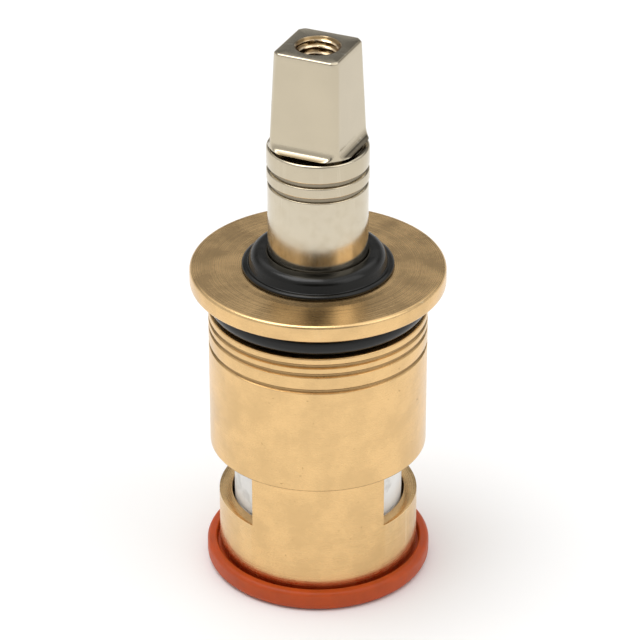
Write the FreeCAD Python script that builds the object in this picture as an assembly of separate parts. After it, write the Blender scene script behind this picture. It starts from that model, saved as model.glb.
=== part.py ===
import FreeCAD, Part
import math
import os

# Quarter-turn ceramic tap cartridge, in millimetres.
# +Z runs up the stem. The origin is the centre of the gasket's underside, which the part stands on.
# The water windows face +X and -X. The valve is closed as drawn, and opens as the stem turns
# a quarter turn clockwise, seen from above.

# Clearances
running_gap = 0.05
face_gap = 0.02
lap_gap = 0.02
drive_gap = 0.05
disc_gap = 0.3
seal_gap = 0.02
stop_gap_deg = 0.5
washer_gap = 0.15

# Small roundings on rings and washers, and how far a cutting shape runs past what it cuts
small_edge_round = 0.1
cut_margin = 1.0

# Quarter turn, clockwise from above
opening_turn_deg = 90.0

# Seat gasket and the stiffening ring inside it
gasket_radius = 12.85
gasket_height = 2.4
gasket_round = 0.85
gasket_lip_round = 0.21
gasket_neck_round = 0.25
foot_recess_depth = 0.8
foot_recess_gap = 0.38
gasket_neck_rise = 2.7
gasket_neck_wall = 1.7
gasket_lip_height = 0.5
stiffener_wall = 0.6
stiffener_drop = 0.4

# Valve body
body_bore_radius = 9.9
lower_wall = 1.47
barrel_radius = 12.3
window_sill = 0.35
window_height = 6.83
window_half_deg = 49.0
barrel_length = 20.17
flange_radius = 14.3
flange_thickness = 1.97
body_edge_round = 0.18
rim_edge_round = 0.25
counterbore_radius = 7.6
counterbore_depth = 1.62
key_width = 4.0
key_depth = 0.7
stop_lug_half_deg = 12.0
stop_lug_depth = 2.1
stop_lug_clearance = 0.65

# Turned decoration grooves, by their depth below the flange's underside
trim_groove_drops = (4.15, 5.29, 7.31)
trim_groove_radius = 0.3

# Body O-ring, in the groove under the flange
body_ring_section = 2.62
body_ring_stand_out = 0.1
body_ring_groove_width = 3.15

# Ceramic discs
fixed_disc_height = 4.25
moving_disc_height = 6.03
port_inner_radius = 2.2
port_half_deg = 40.0
hub_radius = 2.4
sector_half_deg = 48.0
disc_edge_round = 0.2
drive_slot_depth = 2.0
drive_slot_width = 4.0
drive_slot_length = 14.0

# Driver, spindle collar and thrust washer
driver_height = 4.38
tang_slot_depth = 2.6
tang_slot_end_gap = 0.2
tang_length = 15.0
collar_height = 3.25
thrust_washer_height = 0.8

# Spindle
journal_radius = 5.75
stem_ring_section = 1.78
stem_ring_groove_width = 2.3
stem_ring_drops = (4.75, 8.25)
stem_edge_round = 0.12
journal_top_drop = 0.3
shank_radius = 5.58
shank_length = 10.32
ring_radius = 5.66
ring_groove_width = 0.62
ring_groove_depth = 0.38
lower_ring_height = 1.18
upper_ring_height = 2.14
ring_chamfer = 0.3
flats_height = 11.72
flats_side_bottom = 8.28
flats_side_top = 7.56
flats_turn_deg = -24.0
corner_radius_bottom = 5.62
corner_radius_top = 4.78
top_chamfer = 0.22
screw_hole_radius = 2.41
screw_hole_depth = 12.0
drill_point_half_deg = 59.0

# Retaining clip and its washer, under the grommet
clip_thickness = 0.8
clip_groove_depth = 0.75
clip_radius = 7.1
clip_opening_deg = 60.0
clip_opening_half_deg = 38.0
clip_washer_thickness = 0.5
clip_washer_radius = 7.3

# Grommet round the stem
grommet_radius = 8.5
grommet_lip_width = 1.05
grommet_lip_height = 0.55
grommet_height = 1.96
grommet_round = 1.05
grommet_wall_lean = 0.25
grommet_mouth_round = 0.35
grommet_lip_round = 0.25
grommet_crease_round = 0.08

# Heights of the stack, from the gasket's underside up
foot_z = gasket_height - foot_recess_depth
fixed_bottom_z = foot_z + gasket_neck_rise
fixed_top_z = fixed_bottom_z + fixed_disc_height
moving_bottom_z = fixed_top_z + lap_gap
moving_top_z = moving_bottom_z + moving_disc_height
driver_bottom_z = moving_top_z + face_gap
driver_top_z = driver_bottom_z + driver_height
collar_bottom_z = driver_top_z + face_gap
collar_top_z = collar_bottom_z + collar_height
washer_bottom_z = collar_top_z + face_gap
shoulder_z = washer_bottom_z + thrust_washer_height + face_gap
window_floor_z = fixed_top_z + window_sill
barrel_step_z = window_floor_z + window_height
flange_bottom_z = barrel_step_z + barrel_length
flange_top_z = flange_bottom_z + flange_thickness
counterbore_z = flange_top_z - counterbore_depth
clip_bottom_z = counterbore_z + clip_washer_thickness + face_gap

# Heights on the spindle above the flange
shank_top_z = flange_top_z + shank_length
lower_ring_bottom_z = shank_top_z + ring_groove_width
lower_ring_top_z = lower_ring_bottom_z + lower_ring_height
upper_ring_bottom_z = lower_ring_top_z + ring_groove_width
upper_ring_top_z = upper_ring_bottom_z + upper_ring_height
stem_top_z = upper_ring_top_z + flats_height

# Radii that follow from what fits inside what
lower_body_radius = body_bore_radius + lower_wall
disc_radius = body_bore_radius - disc_gap
stem_bore_radius = journal_radius + running_gap
gasket_neck_radius = body_bore_radius - disc_gap
stiffener_radius = gasket_neck_radius - gasket_neck_wall
port_outer_radius = stiffener_radius - stiffener_wall
collar_root_radius = body_bore_radius - stop_lug_depth - disc_gap

AXIS = FreeCAD.Vector(0, 0, 1)
CENTRE = FreeCAD.Vector(0, 0, 0)


def rounded_corner(before, here, after, rounding):
    """Start, middle and end of the arc that rounds the corner at here."""
    back = (before - here).normalize()
    onward = (after - here).normalize()
    half_angle = back.getAngle(onward) / 2
    reach = rounding / math.tan(half_angle)
    room = 0.45 * min((before - here).Length, (after - here).Length)
    reach = min(reach, room)
    arc_radius = reach * math.tan(half_angle)
    bisector = (back + onward).normalize()
    middle = here + bisector * (arc_radius / math.sin(half_angle) - arc_radius)
    return here + back * reach, middle, here + onward * reach


def outline(corners):
    """Closed wire in the XZ plane through corners of (radius, height, rounding)."""
    places = [FreeCAD.Vector(radius, 0, height) for radius, height, rounding in corners]
    count = len(corners)
    edges = []
    starts = []
    ends = []
    for index, (radius, height, rounding) in enumerate(corners):
        here = places[index]
        if rounding == 0:
            starts.append(here)
            ends.append(here)
            continue
        arc = rounded_corner(places[index - 1], here, places[(index + 1) % count], rounding)
        starts.append(arc[0])
        ends.append(arc[2])
        edges.append(Part.Arc(*arc).toShape())
    for index in range(count):
        begin = ends[index]
        finish = starts[(index + 1) % count]
        edges.append(Part.makeLine(begin, finish))
    return Part.Wire(Part.__sortEdges__(edges))


def turned(corners):
    """Solid of revolution about the stem's axis."""
    return Part.Face(outline(corners)).revolve(CENTRE, AXIS, 360)


def ring(inner_radius, outer_radius, bottom_z, top_z, rounding=0.0):
    """Plain washer with its four edges rounded alike."""
    return turned([
        (inner_radius, bottom_z, rounding),
        (outer_radius, bottom_z, rounding),
        (outer_radius, top_z, rounding),
        (inner_radius, top_z, rounding),
    ])


def round_ring(section, outer_radius, centre_z):
    """O-ring of round section whose outside has the radius given."""
    centre = FreeCAD.Vector(outer_radius - section / 2, 0, centre_z)
    circle = Part.makeCircle(section / 2, centre, FreeCAD.Vector(0, 1, 0))
    return Part.Face(Part.Wire(circle)).revolve(CENTRE, AXIS, 360)


def sector(inner_radius, outer_radius, bottom_z, top_z, middle_deg, half_deg):
    """Piece of a thick ring, centred on the direction middle_deg."""
    first = math.radians(middle_deg - half_deg)
    middle = math.radians(middle_deg)
    last = math.radians(middle_deg + half_deg)

    def place(radius, angle):
        return FreeCAD.Vector(radius * math.cos(angle), radius * math.sin(angle), bottom_z)

    outer_arc = Part.Arc(place(outer_radius, first), place(outer_radius, middle), place(outer_radius, last))
    inner_arc = Part.Arc(place(inner_radius, last), place(inner_radius, middle), place(inner_radius, first))
    edges = [
        outer_arc.toShape(),
        Part.makeLine(place(outer_radius, last), place(inner_radius, last)),
        inner_arc.toShape(),
        Part.makeLine(place(inner_radius, first), place(outer_radius, first)),
    ]
    return Part.Face(Part.Wire(edges)).extrude(AXIS * (top_z - bottom_z))


def block(length, width, bottom_z, top_z):
    """Box centred on the axis, length along X and width along Y."""
    corner = FreeCAD.Vector(-length / 2, -width / 2, bottom_z)
    return Part.makeBox(length, width, top_z - bottom_z, corner)


def square_face(side, height):
    """Square outline centred on the axis."""
    half = side / 2
    corners = [(-half, -half), (half, -half), (half, half), (-half, half), (-half, -half)]
    return Part.makePolygon([FreeCAD.Vector(x, y, height) for x, y in corners])


def make_valve_body():
    ring_groove_root = barrel_radius + body_ring_stand_out - body_ring_section - seal_gap
    ring_groove_z = flange_bottom_z - body_ring_groove_width
    body = turned([
        (body_bore_radius, foot_z, body_edge_round),
        (lower_body_radius, foot_z, body_edge_round),
        (lower_body_radius, barrel_step_z, 0),
        (barrel_radius, barrel_step_z, body_edge_round),
        (barrel_radius, ring_groove_z, body_edge_round),
        (ring_groove_root, ring_groove_z, body_edge_round),
        (ring_groove_root, flange_bottom_z, 0),
        (flange_radius, flange_bottom_z, rim_edge_round),
        (flange_radius, flange_top_z, rim_edge_round),
        (counterbore_radius, flange_top_z, body_edge_round),
        (counterbore_radius, counterbore_z, 0),
        (stem_bore_radius, counterbore_z, 0),
        (stem_bore_radius, shoulder_z, 0),
        (body_bore_radius, shoulder_z, 0),
    ])
    for drop in trim_groove_drops:
        groove_z = flange_bottom_z - drop
        body = body.cut(round_ring(2 * trim_groove_radius, barrel_radius + trim_groove_radius, groove_z))
    for side_deg in (0, 180):
        window = sector(body_bore_radius - cut_margin, barrel_radius + cut_margin,
                        window_floor_z, barrel_step_z, side_deg, window_half_deg)
        body = body.cut(window)
    key_reach = 2 * (body_bore_radius + key_depth + running_gap)
    keyway = block(key_width + 2 * drive_gap, key_reach, foot_z - cut_margin, fixed_top_z + face_gap)
    body = body.cut(keyway)
    lug_bottom_z = collar_bottom_z + stop_lug_clearance
    for side_deg in (90, 270):
        lug = sector(body_bore_radius - stop_lug_depth, body_bore_radius + lower_wall / 2,
                     lug_bottom_z, shoulder_z + face_gap, side_deg, stop_lug_half_deg)
        body = body.fuse(lug)
    return body.removeSplitter()


def make_body_o_ring():
    centre_z = flange_bottom_z - body_ring_groove_width + body_ring_section / 2 + seal_gap
    return round_ring(body_ring_section, barrel_radius + body_ring_stand_out, centre_z)


def make_seat_gasket():
    recess_radius = lower_body_radius + foot_recess_gap
    opening_radius = stiffener_radius - stiffener_wall
    return turned([
        (opening_radius, 0, 0),
        (gasket_radius, 0, gasket_round),
        (gasket_radius, gasket_height, gasket_round),
        (recess_radius, gasket_height, gasket_lip_round),
        (recess_radius, foot_z, 0),
        (gasket_neck_radius, foot_z, 0),
        (gasket_neck_radius, fixed_bottom_z, gasket_neck_round),
        (stiffener_radius, fixed_bottom_z, gasket_neck_round),
        (stiffener_radius, gasket_lip_height, 0),
        (opening_radius, gasket_lip_height, 0),
    ])


def make_gasket_stiffener():
    inner_radius = stiffener_radius - stiffener_wall
    return ring(inner_radius, stiffener_radius - seal_gap, gasket_lip_height,
                fixed_bottom_z - stiffener_drop, small_edge_round)


def make_fixed_disc():
    disc = turned([
        (0, fixed_bottom_z, 0),
        (disc_radius, fixed_bottom_z, disc_edge_round),
        (disc_radius, fixed_top_z, disc_edge_round),
        (0, fixed_top_z, 0),
    ])
    lug_reach = 2 * (body_bore_radius + key_depth)
    disc = disc.fuse(block(key_width, lug_reach, fixed_bottom_z, fixed_top_z - disc_edge_round))
    for side_deg in (0, 180):
        port = sector(port_inner_radius, port_outer_radius, fixed_bottom_z - cut_margin,
                      fixed_top_z + cut_margin, side_deg, port_half_deg)
        disc = disc.cut(port)
    return disc.removeSplitter()


def make_moving_disc():
    disc = turned([
        (0, moving_bottom_z, 0),
        (disc_radius, moving_bottom_z, disc_edge_round),
        (disc_radius, moving_top_z, disc_edge_round),
        (0, moving_top_z, 0),
    ])
    for side_deg in (90, 270):
        waterway = sector(hub_radius, disc_radius + cut_margin, moving_bottom_z - cut_margin,
                          moving_top_z + cut_margin, side_deg, 90 - sector_half_deg)
        disc = disc.cut(waterway)
    slot = block(drive_slot_length, drive_slot_width, moving_top_z - drive_slot_depth,
                 moving_top_z + cut_margin)
    return disc.cut(slot)


def make_disc_driver():
    driver = turned([
        (0, driver_bottom_z, 0),
        (disc_radius, driver_bottom_z, disc_edge_round),
        (disc_radius, driver_top_z, disc_edge_round),
        (0, driver_top_z, 0),
    ])
    tongue_length = drive_slot_length - 2 * drive_gap
    tongue_width = drive_slot_width - 2 * drive_gap
    tongue = block(tongue_length, tongue_width, moving_top_z - drive_slot_depth + drive_gap,
                   driver_bottom_z + disc_edge_round)
    slot = block(drive_slot_width, 2 * disc_radius + cut_margin, driver_top_z - tang_slot_depth,
                 driver_top_z + cut_margin)
    return driver.fuse(tongue).cut(slot).removeSplitter()


def make_thrust_washer():
    outer_radius = body_bore_radius - stop_lug_depth - washer_gap
    return ring(stem_bore_radius + washer_gap, outer_radius, washer_bottom_z,
                washer_bottom_z + thrust_washer_height, small_edge_round)


def stem_groove(middle_z):
    """Corners of one O-ring groove in the spindle's journal, from the bottom up."""
    root = stem_bore_radius - stem_ring_section - 2 * seal_gap
    bottom_z = middle_z - stem_ring_groove_width / 2
    top_z = middle_z + stem_ring_groove_width / 2
    return [
        (journal_radius, bottom_z, stem_edge_round),
        (root, bottom_z, stem_edge_round),
        (root, top_z, stem_edge_round),
        (journal_radius, top_z, stem_edge_round),
    ]


def ring_groove(bottom_z, lower_radius, upper_radius):
    """Corners of one turned groove on the plated shank, from the bottom up."""
    root = ring_radius - ring_groove_depth
    return [
        (lower_radius, bottom_z, ring_chamfer),
        (root, bottom_z, 0),
        (root, bottom_z + ring_groove_width, 0),
        (upper_radius, bottom_z + ring_groove_width, ring_chamfer),
    ]


def make_spindle_shaft():
    """Everything turned below the flats: collar, journal, shank and rings."""
    clip_root = shank_radius - clip_groove_depth
    corners = [
        (0, collar_bottom_z, 0),
        (disc_radius, collar_bottom_z, disc_edge_round),
        (disc_radius, collar_top_z, disc_edge_round),
        (journal_radius, collar_top_z, 0),
    ]
    for drop in sorted(stem_ring_drops, reverse=True):
        corners += stem_groove(counterbore_z - drop)
    corners += [
        (journal_radius, counterbore_z - journal_top_drop, stem_edge_round),
        (shank_radius, counterbore_z - journal_top_drop, 0),
        (shank_radius, clip_bottom_z - face_gap, 0),
        (clip_root, clip_bottom_z - face_gap, 0),
        (clip_root, clip_bottom_z + clip_thickness + face_gap, 0),
        (shank_radius, clip_bottom_z + clip_thickness + face_gap, 0),
    ]
    corners += ring_groove(shank_top_z, shank_radius, ring_radius)
    corners += ring_groove(lower_ring_top_z, ring_radius, ring_radius)
    corners += [
        (ring_radius, upper_ring_top_z, ring_chamfer),
        (0, upper_ring_top_z, 0),
    ]
    return turned(corners)


def make_spindle_head():
    """Tapered square with the turned blank left at its corners."""
    chamfer_z = stem_top_z - top_chamfer
    overlap_z = upper_ring_top_z - ring_chamfer
    blank = turned([
        (0, overlap_z, 0),
        (ring_radius - ring_groove_depth - ring_chamfer, overlap_z, 0),
        (corner_radius_bottom, upper_ring_top_z, 0),
        (corner_radius_top, chamfer_z, 0),
        (corner_radius_top - top_chamfer, stem_top_z, 0),
        (0, stem_top_z, 0),
    ])
    lower = Part.makeLoft([
        square_face(flats_side_bottom, overlap_z),
        square_face(flats_side_top, chamfer_z),
    ], True, True)
    upper = Part.makeLoft([
        square_face(flats_side_top, chamfer_z),
        square_face(flats_side_top - 2 * top_chamfer, stem_top_z),
    ], True, True)
    square = lower.fuse(upper)
    square.rotate(CENTRE, AXIS, flats_turn_deg)
    head = blank.common(square)
    groove = ring(ring_radius - ring_groove_depth - ring_chamfer, ring_radius + cut_margin,
                  upper_ring_top_z, upper_ring_top_z + ring_groove_width)
    return head.cut(groove)


def make_spindle():
    spindle = make_spindle_shaft().fuse(make_spindle_head())
    tang_bottom_z = driver_top_z - tang_slot_depth + tang_slot_end_gap
    tang = block(drive_slot_width - 2 * drive_gap, tang_length, tang_bottom_z,
                 collar_bottom_z + disc_edge_round)
    spindle = spindle.fuse(tang)
    recess_half_deg = stop_lug_half_deg + opening_turn_deg / 2 + stop_gap_deg
    for lug_deg in (90, 270):
        recess = sector(collar_root_radius, body_bore_radius + cut_margin, collar_bottom_z - face_gap,
                        collar_top_z + face_gap, lug_deg + opening_turn_deg / 2, recess_half_deg)
        spindle = spindle.cut(recess)
    point_height = screw_hole_radius / math.tan(math.radians(drill_point_half_deg))
    hole_bottom_z = stem_top_z - screw_hole_depth
    hole = turned([
        (0, hole_bottom_z - point_height, 0),
        (screw_hole_radius, hole_bottom_z, 0),
        (screw_hole_radius, stem_top_z + cut_margin, 0),
        (0, stem_top_z + cut_margin, 0),
    ])
    return spindle.cut(hole).removeSplitter()


def make_stem_o_ring(drop):
    return round_ring(stem_ring_section, stem_bore_radius - seal_gap, counterbore_z - drop)


def make_clip_washer():
    return ring(ring_radius + washer_gap, clip_washer_radius, counterbore_z,
                counterbore_z + clip_washer_thickness, small_edge_round)


def make_retaining_clip():
    inner_radius = shank_radius - clip_groove_depth + seal_gap
    clip_top_z = clip_bottom_z + clip_thickness
    clip = ring(inner_radius, clip_radius, clip_bottom_z, clip_top_z, small_edge_round)
    opening = sector(inner_radius / 2, clip_radius + cut_margin, clip_bottom_z - cut_margin,
                     clip_top_z + cut_margin, clip_opening_deg, clip_opening_half_deg)
    return clip.cut(opening)


def make_stem_grommet():
    bottom_z = flange_top_z + face_gap
    lip_z = bottom_z + grommet_lip_height
    top_z = bottom_z + grommet_height
    crease_radius = grommet_radius - grommet_lip_width
    return turned([
        (shank_radius, bottom_z, 0),
        (grommet_radius, bottom_z, small_edge_round),
        (grommet_radius, lip_z, grommet_lip_round),
        (crease_radius, lip_z, grommet_crease_round),
        (crease_radius - grommet_wall_lean, top_z, grommet_round),
        (shank_radius, top_z, grommet_mouth_round),
    ])


def main():
    pieces = {
        "valve_body": make_valve_body(),
        "body_o_ring": make_body_o_ring(),
        "seat_gasket": make_seat_gasket(),
        "gasket_stiffener": make_gasket_stiffener(),
        "fixed_disc": make_fixed_disc(),
        "moving_disc": make_moving_disc(),
        "disc_driver": make_disc_driver(),
        "thrust_washer": make_thrust_washer(),
        "spindle": make_spindle(),
        "stem_o_ring_upper": make_stem_o_ring(min(stem_ring_drops)),
        "stem_o_ring_lower": make_stem_o_ring(max(stem_ring_drops)),
        "clip_washer": make_clip_washer(),
        "retaining_clip": make_retaining_clip(),
        "stem_grommet": make_stem_grommet(),
    }
    os.makedirs("parts", exist_ok=True)
    for name, shape in pieces.items():
        if not shape.isValid() or len(shape.Solids) != 1:
            raise RuntimeError(name + " is not one valid solid")
        shape.exportStep("parts/" + name + ".step")
        print(name, round(shape.Volume, 2), [round(v, 2) for v in (shape.BoundBox.ZMin, shape.BoundBox.ZMax)])


main()
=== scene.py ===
import math

import bmesh
import bpy
from bpy.props import FloatProperty, FloatVectorProperty, IntProperty, PointerProperty
from bpy.types import Operator, Panel, PropertyGroup
from mathutils import Matrix, Vector


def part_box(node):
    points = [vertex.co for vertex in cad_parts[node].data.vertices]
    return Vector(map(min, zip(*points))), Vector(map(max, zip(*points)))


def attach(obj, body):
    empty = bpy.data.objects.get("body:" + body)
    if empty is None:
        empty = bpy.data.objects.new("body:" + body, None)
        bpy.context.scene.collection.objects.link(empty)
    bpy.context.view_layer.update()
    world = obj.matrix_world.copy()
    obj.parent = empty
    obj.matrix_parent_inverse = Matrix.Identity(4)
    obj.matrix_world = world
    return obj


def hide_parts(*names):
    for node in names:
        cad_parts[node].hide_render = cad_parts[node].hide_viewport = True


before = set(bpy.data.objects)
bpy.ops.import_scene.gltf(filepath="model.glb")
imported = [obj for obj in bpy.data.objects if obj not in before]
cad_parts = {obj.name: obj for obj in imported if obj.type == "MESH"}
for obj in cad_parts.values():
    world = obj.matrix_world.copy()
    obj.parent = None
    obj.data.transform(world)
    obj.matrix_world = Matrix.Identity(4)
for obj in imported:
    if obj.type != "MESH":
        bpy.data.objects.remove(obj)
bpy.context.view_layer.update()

bl_info = {
    "name": "Tap Cartridge",
    "version": (1, 0, 0),
    "blender": (4, 5, 0),
    "location": "View3D > Sidebar > Tap Cartridge",
    "description": "Dresses a quarter-turn ceramic tap cartridge and sets it in a plain studio",
    "category": "Object",
}

MM = 0.001

# Places read from the frame
BODY_LOW, BODY_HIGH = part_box("valve_body")
SPINDLE_LOW, SPINDLE_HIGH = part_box("spindle")
_, GASKET_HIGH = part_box("seat_gasket")
GROMMET_LOW, GROMMET_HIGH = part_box("stem_grommet")
BODY_RING_LOW, BODY_RING_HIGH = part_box("body_o_ring")
STIFFENER_LOW, STIFFENER_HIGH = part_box("gasket_stiffener")
FIXED_LOW, FIXED_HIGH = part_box("fixed_disc")
WASHER_LOW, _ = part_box("clip_washer")
THRUST_LOW, THRUST_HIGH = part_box("thrust_washer")
_, DRIVER_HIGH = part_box("disc_driver")
CLIP_LOW, CLIP_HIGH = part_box("retaining_clip")
RING_LOW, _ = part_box("stem_o_ring_lower")


def length(name, description, default_mm):
    """Length property with its default given in millimetres."""
    return FloatProperty(
        name=name, description=description, default=default_mm * MM, unit="LENGTH", precision=5
    )


def colour(name, description, default):
    """Colour property, in linear red, green and blue."""
    return FloatVectorProperty(
        name=name, description=description, default=default, size=3, min=0.0, max=1.0, subtype="COLOR"
    )


class BodySizes(PropertyGroup):
    """Sizes of the turned brass body."""

    barrel_radius: length("Barrel radius", "Radius of the main barrel", 12.3)
    lower_radius: length("Lower radius", "Radius of the body below the step", 11.37)
    bore_radius: length("Bore radius", "Radius of the bore that holds the discs", 9.9)
    stem_bore_radius: length("Stem bore radius", "Radius of the bore round the spindle", 5.8)
    counterbore_radius: length("Counterbore radius", "Recess for the clip", 7.6)
    flange_thickness: length("Flange thickness", "Thickness of the flange", 1.97)
    barrel_length: length("Barrel length", "From the step to the flange", 20.17)
    window_height: length("Window height", "Height of the side windows", 6.83)
    ring_groove_width: length("O-ring groove width", "Groove under the flange", 3.15)
    ring_groove_root: length("O-ring groove root", "Radius at the groove's root", 9.76)
    trim_groove_radius: length("Trim groove radius", "Radius of the turned trim grooves", 0.3)
    key_radius: length("Keyway radius", "Reach of the keyways for the fixed disc", 10.65)
    stop_radius: length("Stop radius", "Reach of the lugs that stop the stem", 7.8)
    window_half_angle: IntProperty(
        name="Window half angle", description="Half of a window's width, in degrees", default=49
    )


class SpindleSizes(PropertyGroup):
    """Sizes of the plated spindle above its journal."""

    collar_radius: length("Collar radius", "Radius of the collar's two lobes", 9.6)
    stop_root: length("Stop root", "Radius between the collar's lobes", 7.5)
    journal_radius: length("Journal radius", "Radius in the body's bore", 5.75)
    shank_radius: length("Shank radius", "Radius of the plated shank", 5.58)
    shank_length: length("Shank length", "From the flange to the lower groove", 10.32)
    ring_radius: length("Ring radius", "Radius of the two raised rings", 5.66)
    groove_depth: length("Groove depth", "Depth of the ring grooves", 0.38)
    groove_width: length("Groove width", "Width of the ring grooves", 0.62)
    flats_height: length("Height of the square", "From the rings to the top", 11.72)
    hole_depth: length("Screw hole depth", "Depth of the full thread", 12.0)
    stem_ring_spacing: length("O-ring spacing", "Between the two O-rings of the stem", 3.5)
    side_bottom: length("Square at the bottom", "Across the flats at the rings", 8.28)
    side_top: length("Square at the top", "Across the flats at the top", 7.56)
    corner_bottom: length("Corners at the bottom", "Reach of the square's corners at the rings", 5.62)
    foot_fillet: length("Foot fillet", "Radius where the flats run out above the rings", 0.9)
    foot_gap: length("Foot gap", "Height of the groove under the flats", 0.42)
    corner_top: length("Corners at the top", "Reach of the square's corners at the top", 4.9)
    hole_radius: length("Screw hole radius", "Radius at the thread's root", 2.41)
    thread_depth: length("Thread depth", "Height of the thread's ridge", 0.4)
    thread_pitch: length("Thread pitch", "Distance from crest to crest", 0.794)
    flats_turn: FloatProperty(
        name="Turn of the flats", description="Turn of the square from the windows",
        default=math.radians(-24.0), subtype="ANGLE"
    )


class FinishColours(PropertyGroup):
    """Base colours of the finishes."""

    brass: colour("Brass", "Turned brass", (0.76, 0.505, 0.236))
    nickel: colour("Nickel", "Nickel plating", (0.56, 0.488, 0.362))
    rubber: colour("Rubber", "Black rubber", (0.0025, 0.0023, 0.0014))
    silicone: colour("Silicone", "Orange silicone gasket", (0.46, 0.062, 0.004))
    ceramic: colour("Ceramic", "White alumina", (0.89, 0.89, 0.87))
    acetal: colour("Acetal", "White moulded acetal", (0.76, 0.76, 0.73))
    steel: colour("Steel", "Spring steel", (0.42, 0.42, 0.43))


FLANGE_TOP = BODY_HIGH.z

# Helpers for meshes


def begin(name):
    """New object from one point on the axis, in edit mode, ready to be drawn and spun."""
    bpy.ops.object.select_all(action="DESELECT")
    bpy.ops.mesh.primitive_plane_add(size=MM, location=(0, 0, 0))
    piece = bpy.context.object
    piece.name = name
    piece.data.name = name
    bpy.ops.object.mode_set(mode="EDIT")
    bpy.ops.mesh.select_mode(type="VERT")
    bpy.ops.mesh.select_all(action="SELECT")
    bpy.ops.mesh.merge(type="CENTER")
    return piece


def rounded_corner(before, here, after, rounding, steps):
    """Points of the arc that rounds the corner at here, in the plane of radius and height."""
    back = (before - here).normalized()
    onward = (after - here).normalized()
    half_angle = back.angle(onward) / 2
    reach = rounding / math.tan(half_angle)
    reach = min(reach, 0.48 * (before - here).length, 0.48 * (after - here).length)
    arc_radius = reach * math.tan(half_angle)
    centre = here + (back + onward).normalized() * (arc_radius / math.sin(half_angle))
    start = here + back * reach - centre
    turn = start.angle_signed(here + onward * reach - centre)
    return [centre + Matrix.Rotation(-turn * step / steps, 2) @ start for step in range(steps + 1)]


def rounded(corners, steps=4):
    """Profile of (radius, height) points from corners of (radius, height, rounding)."""
    places = [Vector((radius, height)) for radius, height, rounding in corners]
    points = []
    for index, (radius, height, rounding) in enumerate(corners):
        if rounding == 0 or index in (0, len(corners) - 1):
            points.append(places[index])
        else:
            points += rounded_corner(places[index - 1], places[index], places[index + 1], rounding, steps)
    return points


def spin_profile(name, points, steps, closed=False):
    """Spin a profile of (radius, height) points about the axis into a closed mesh."""
    piece = begin(name)
    bpy.ops.transform.translate(value=(points[0][0], 0, points[0][1]))
    here = points[0]
    for point in points[1:]:
        move = (point[0] - here[0], 0, point[1] - here[1])
        bpy.ops.mesh.extrude_region_move(TRANSFORM_OT_translate={"value": move})
        here = point
    if closed:
        mesh = bmesh.from_edit_mesh(piece.data)
        ends = [vertex for vertex in mesh.verts if len(vertex.link_edges) == 1]
        for vertex in mesh.verts:
            vertex.select = vertex in ends
        mesh.select_flush_mode()
        bpy.ops.mesh.edge_face_add()
    bpy.ops.mesh.select_all(action="SELECT")
    bpy.ops.mesh.spin(steps=steps, angle=2 * math.pi, center=(0, 0, 0), axis=(0, 0, 1), use_auto_merge=True)
    bpy.ops.mesh.select_all(action="SELECT")
    bpy.ops.mesh.remove_doubles(threshold=0.001 * MM)
    bpy.ops.mesh.normals_make_consistent(inside=False)
    return piece


def finish_mesh(piece, smooth_degrees=35):
    """Leave edit mode, shade smooth with crisp edges, and weight the normals by face."""
    if bpy.context.mode == "EDIT_MESH":
        bpy.ops.object.mode_set(mode="OBJECT")
    bpy.ops.object.select_all(action="DESELECT")
    piece.select_set(True)
    bpy.context.view_layer.objects.active = piece
    bpy.ops.object.transform_apply(location=True, rotation=True, scale=True)
    bpy.ops.object.shade_smooth_by_angle(angle=math.radians(smooth_degrees))
    weighted = piece.modifiers.new("Weighted normals", "WEIGHTED_NORMAL")
    weighted.keep_sharp = True
    bpy.ops.object.modifier_apply(modifier=weighted.name)


def select_faces(piece, wanted):
    """Select the faces whose centre passes the test, in edit mode."""
    bpy.ops.mesh.select_mode(type="FACE")
    bpy.ops.mesh.select_all(action="DESELECT")
    mesh = bmesh.from_edit_mesh(piece.data)
    for face in mesh.faces:
        face.select_set(wanted(face.calc_center_median(), face.normal))
    bmesh.update_edit_mesh(piece.data)


def dress(piece, material, body=None, stands_for=()):
    """Give a piece its only material, and tell the frame what it rides on and stands for."""
    piece.data.materials.clear()
    piece.data.materials.append(material)
    if body:
        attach(piece, body)
    if stands_for:
        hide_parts(*stands_for)


# Shader groups and materials


class Nodes:
    """Short way to add and join the nodes of one tree."""

    def __init__(self, tree):
        self.tree = tree
        self.tree.nodes.clear()

    def add(self, kind, settings=None, **inputs):
        """Add a node, set its options and fill its inputs by name or by place."""
        node = self.tree.nodes.new(kind)
        for key, value in (settings or {}).items():
            setattr(node, key, value)
        for key, value in inputs.items():
            by_place = key[0] == "i" and key[1:].isdigit()
            socket = node.inputs[int(key[1:]) if by_place else key.replace("_", " ")]
            if isinstance(value, bpy.types.NodeSocket):
                self.tree.links.new(value, socket)
            else:
                socket.default_value = value
        return node

    def math(self, operation, first, second=0.0, clamp=False):
        """Output of one Math node."""
        settings = {"operation": operation, "use_clamp": clamp}
        return self.add("ShaderNodeMath", settings, i0=first, i1=second).outputs[0]

    def ramp(self, value, low, high, low_out=0.0, high_out=1.0):
        """Smooth step of a value between two limits."""
        settings = {"interpolation_type": "SMOOTHSTEP"}
        node = self.add("ShaderNodeMapRange", settings, Value=value, From_Min=low, From_Max=high)
        node.inputs["To Min"].default_value = low_out
        node.inputs["To Max"].default_value = high_out
        return node.outputs["Result"]

    def mix(self, factor, first, second):
        """Mixed colour of two colours or sockets."""
        node = self.tree.nodes.new("ShaderNodeMix")
        node.data_type = "RGBA"
        for socket, value in ((node.inputs[0], factor), (node.inputs[6], first), (node.inputs[7], second)):
            if isinstance(value, bpy.types.NodeSocket):
                self.tree.links.new(value, socket)
            elif hasattr(value, "__len__"):
                socket.default_value = (*value[:3], 1.0)
            else:
                socket.default_value = value
        return node.outputs[2]


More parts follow.
